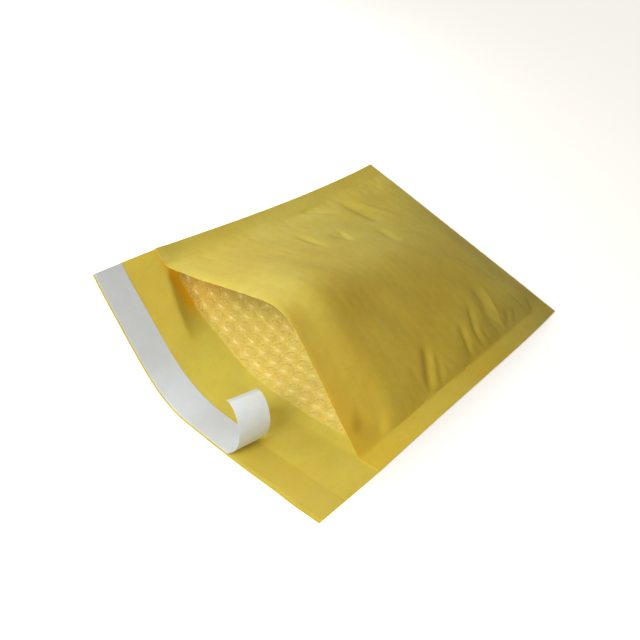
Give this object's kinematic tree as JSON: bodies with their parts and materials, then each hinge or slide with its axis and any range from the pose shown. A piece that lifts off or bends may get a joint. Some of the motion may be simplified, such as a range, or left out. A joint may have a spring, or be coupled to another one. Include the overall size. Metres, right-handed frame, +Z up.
{
  "type": "padded envelope",
  "caption": "Open padded mailing envelope of yellow kraft paper lined with bubble film, its flap spread out and its release liner half peeled and curled.",
  "frame": {"origin": "middle of the underside of the bounding box, on the surface that the envelope lies on", "axes": "+X across the envelope towards the higher side seam, +Y from the open mouth and flap towards the closed end, +Z up off the back panel"},
  "size_m": [0.2402, 0.3248, 0.0763],
  "materials": {
    "kraft_paper": "matt golden yellow kraft paper, softly creased",
    "bubble_film": "clear thin polyethylene bubble film, glossy",
    "hot_melt": "translucent amber hot melt, smooth",
    "clear_adhesive": "clear tacky film, glossy",
    "silicone_paper": "white silicone-coated paper, satin"
  },
  "bodies": {
    "root": {"outer_paper": "kraft_paper", "bubble_lining": "bubble_film", "seam_glue_far": "hot_melt", "seam_glue_near": "hot_melt", "flap_adhesive": "clear_adhesive", "release_liner": "silicone_paper"}
  },
  "joints": []
}
